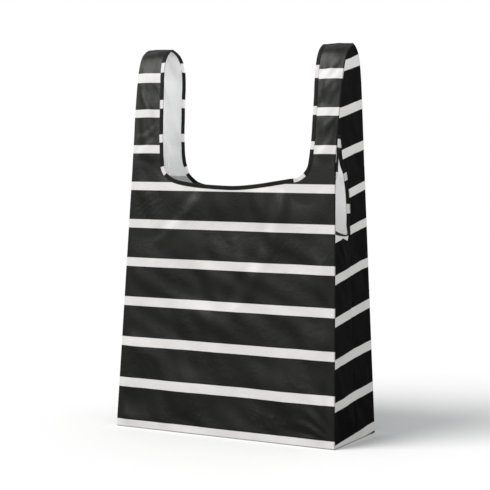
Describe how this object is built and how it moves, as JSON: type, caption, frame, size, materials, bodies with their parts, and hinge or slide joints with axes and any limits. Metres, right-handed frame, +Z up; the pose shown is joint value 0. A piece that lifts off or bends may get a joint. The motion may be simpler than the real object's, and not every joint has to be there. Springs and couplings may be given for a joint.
{
  "type": "foldable tote bag",
  "caption": "Foldable gusseted shopping tote in striped woven fabric, with two strap handles rising from the top corners, bound slits in the sides and a boxed base that folds flat.",
  "frame": {"origin": "centre of the base, on the surface the bag stands on", "axes": "+Z up through the mouth, +X along the width, the front face looks along -Y"},
  "size_m": [0.394, 0.162, 0.6214],
  "materials": {
    "striped_fabric": "woven nylon with pale horizontal stripes, pale grey lining side",
    "side_fabric": "the same striped woven nylon, cut separately",
    "binding_tape": "folded binding cut from the same cloth"
  },
  "bodies": {
    "back": {"back_panel": "striped_fabric", "neck_binding_back": "binding_tape", "corner_tuck_right": "side_fabric", "corner_tuck_left": "side_fabric"},
    "front": {"front_panel": "striped_fabric", "neck_binding_front": "binding_tape"},
    "base_back": {"base_back_half": "striped_fabric"},
    "base_front": {"base_front_half": "striped_fabric"},
    "gusset_right_back": {"gusset_right_back_half": "side_fabric", "centre_seam_tape_right": "binding_tape"},
    "gusset_right_front": {"gusset_right_front_half": "side_fabric", "slit_binding_right_front": "binding_tape", "slit_binding_right_back": "binding_tape", "slit_flap_right": "side_fabric"},
    "strap_root_front_right": {"strap_root_front_right": "striped_fabric", "strap_root_binding_front_right": "binding_tape"},
    "handle_front_right": {"handle_strap_front_right": "striped_fabric", "handle_binding_front_right": "binding_tape"},
    "handle_side_front_right": {"handle_side_front_right": "side_fabric"},
    "strap_root_back_right": {"strap_root_back_right": "striped_fabric", "strap_root_binding_back_right": "binding_tape"},
    "handle_back_right": {"handle_strap_back_right": "striped_fabric", "handle_binding_back_right": "binding_tape", "handle_top_seam_right": "binding_tape"},
    "handle_side_back_right": {"handle_side_back_right": "side_fabric"},
    "gusset_left_back": {"gusset_left_back_half": "side_fabric", "centre_seam_tape_left": "binding_tape"},
    "gusset_left_front": {"gusset_left_front_half": "side_fabric", "slit_binding_left_front": "binding_tape", "slit_binding_left_back": "binding_tape", "slit_flap_left": "side_fabric"},
    "strap_root_front_left": {"strap_root_front_left": "striped_fabric", "strap_root_binding_front_left": "binding_tape"},
    "handle_front_left": {"handle_strap_front_left": "striped_fabric", "handle_binding_front_left": "binding_tape"},
    "handle_side_front_left": {"handle_side_front_left": "side_fabric"},
    "strap_root_back_left": {"strap_root_back_left": "striped_fabric", "strap_root_binding_back_left": "binding_tape"},
    "handle_back_left": {"handle_strap_back_left": "striped_fabric", "handle_binding_back_left": "binding_tape", "handle_top_seam_left": "binding_tape"},
    "handle_side_back_left": {"handle_side_back_left": "side_fabric"}
  },
  "joints": [
    {"name": "flatten", "type": "hinge", "parent": "back", "child": "gusset_right_back", "pos_m": [0.1962, 0.0797, 0], "axis": [0.0339, 0.0534, -0.998], "range_deg": [0, 84], "deforming": ["corner_tuck_right", "corner_tuck_left", "handle_top_seam_right", "handle_top_seam_left"]},
    {"name": "gusset_right_fold", "type": "hinge", "parent": "gusset_right_back", "child": "gusset_right_front", "pos_m": [0.197, 0, 0], "axis": [-0.034, 0, 0.9994], "range_deg": [0, 168]},
    {"name": "front_right_corner", "type": "hinge", "parent": "gusset_right_front", "child": "front", "pos_m": [0.1962, -0.0797, 0], "axis": [0.0339, -0.0534, -0.998], "range_deg": [0, 84]},
    {"name": "back_left_corner", "type": "hinge", "parent": "back", "child": "gusset_left_back", "pos_m": [-0.1962, 0.0797, 0], "axis": [0.0339, -0.0534, 0.998], "range_deg": [0, 84]},
    {"name": "gusset_left_fold", "type": "hinge", "parent": "gusset_left_back", "child": "gusset_left_front", "pos_m": [-0.197, 0, 0], "axis": [-0.034, 0, -0.9994], "range_deg": [0, 168]},
    {"name": "base_back_fold", "type": "hinge", "parent": "back", "child": "base_back", "pos_m": [0, 0.0797, 0.0008], "axis": [-1, 0, 0], "range_deg": [0, 84]},
    {"name": "base_front_fold", "type": "hinge", "parent": "front", "child": "base_front", "pos_m": [0, -0.0797, 0.0008], "axis": [1, 0, 0], "range_deg": [0, 84]},
    {"name": "lean_back_right", "type": "hinge", "parent": "back", "child": "strap_root_back_right", "pos_m": [0.15844, 0.05799, 0.43], "axis": [-1, 0, 0], "range_deg": [0, 13]},
    {"name": "lean_front_right", "type": "hinge", "parent": "front", "child": "strap_root_front_right", "pos_m": [0.15844, -0.05799, 0.43], "axis": [1, 0, 0], "range_deg": [0, 13]},
    {"name": "carry_right", "type": "hinge", "parent": "strap_root_back_right", "child": "handle_back_right", "pos_m": [0.18238, 0.05799, 0.4312], "axis": [0, -1, 0], "range_deg": [0, 17], "deforming": ["strap_root_back_right", "strap_root_binding_back_right", "handle_side_back_right"]},
    {"name": "carry_front_right", "type": "hinge", "parent": "strap_root_front_right", "child": "handle_front_right", "pos_m": [0.18238, -0.05799, 0.4312], "axis": [0, -1, 0], "range_deg": [0, 17], "deforming": ["strap_root_front_right", "strap_root_binding_front_right", "handle_side_front_right"]},
    {"name": "side_fold_back_right", "type": "hinge", "parent": "handle_back_right", "child": "handle_side_back_right", "pos_m": [0.18158, 0.0567, 0.43], "axis": [-0.018, 0.1728, -0.9848], "range_deg": [0, 84]},
    {"name": "side_fold_front_right", "type": "hinge", "parent": "handle_front_right", "child": "handle_side_front_right", "pos_m": [0.18158, -0.0567, 0.43], "axis": [0.018, 0.1728, 0.9848], "range_deg": [0, 84]},
    {"name": "lean_back_left", "type": "hinge", "parent": "back", "child": "strap_root_back_left", "pos_m": [-0.15844, 0.05799, 0.43], "axis": [-1, 0, 0], "range_deg": [0, 13]},
    {"name": "lean_front_left", "type": "hinge", "parent": "front", "child": "strap_root_front_left", "pos_m": [-0.15844, -0.05799, 0.43], "axis": [1, 0, 0], "range_deg": [0, 13]},
    {"name": "carry_left", "type": "hinge", "parent": "strap_root_back_left", "child": "handle_back_left", "pos_m": [-0.18238, 0.05799, 0.4312], "axis": [0, 1, 0], "range_deg": [0, 17], "deforming": ["strap_root_back_left", "strap_root_binding_back_left", "handle_side_back_left"]},
    {"name": "carry_front_left", "type": "hinge", "parent": "strap_root_front_left", "child": "handle_front_left", "pos_m": [-0.18238, -0.05799, 0.4312], "axis": [0, 1, 0], "range_deg": [0, 17], "deforming": ["strap_root_front_left", "strap_root_binding_front_left", "handle_side_front_left"]},
    {"name": "side_fold_back_left", "type": "hinge", "parent": "handle_back_left", "child": "handle_side_back_left", "pos_m": [-0.18158, 0.0567, 0.43], "axis": [-0.018, -0.1728, 0.9848], "range_deg": [0, 84]},
    {"name": "side_fold_front_left", "type": "hinge", "parent": "handle_front_left", "child": "handle_side_front_left", "pos_m": [-0.18158, -0.0567, 0.43], "axis": [0.018, -0.1728, -0.9848], "range_deg": [0, 84]}
  ],
  "couplings": [
    {"joint": "gusset_right_fold", "follows": "flatten", "ratio": 2},
    {"joint": "front_right_corner", "follows": "flatten", "ratio": 1},
    {"joint": "back_left_corner", "follows": "flatten", "ratio": 1},
    {"joint": "gusset_left_fold", "follows": "flatten", "ratio": 2},
    {"joint": "base_back_fold", "follows": "flatten", "ratio": 1},
    {"joint": "base_front_fold", "follows": "flatten", "ratio": 1},
    {"joint": "lean_back_right", "follows": "flatten", "ratio": 0.146},
    {"joint": "lean_front_right", "follows": "flatten", "ratio": 0.146},
    {"joint": "carry_front_right", "follows": "carry_right", "ratio": 1},
    {"joint": "side_fold_back_right", "follows": "flatten", "ratio": 1},
    {"joint": "side_fold_front_right", "follows": "flatten", "ratio": 1},
    {"joint": "lean_back_left", "follows": "flatten", "ratio": 0.146},
    {"joint": "lean_front_left", "follows": "flatten", "ratio": 0.146},
    {"joint": "carry_front_left", "follows": "carry_left", "ratio": 1},
    {"joint": "side_fold_back_left", "follows": "flatten", "ratio": 1},
    {"joint": "side_fold_front_left", "follows": "flatten", "ratio": 1}
  ]
}
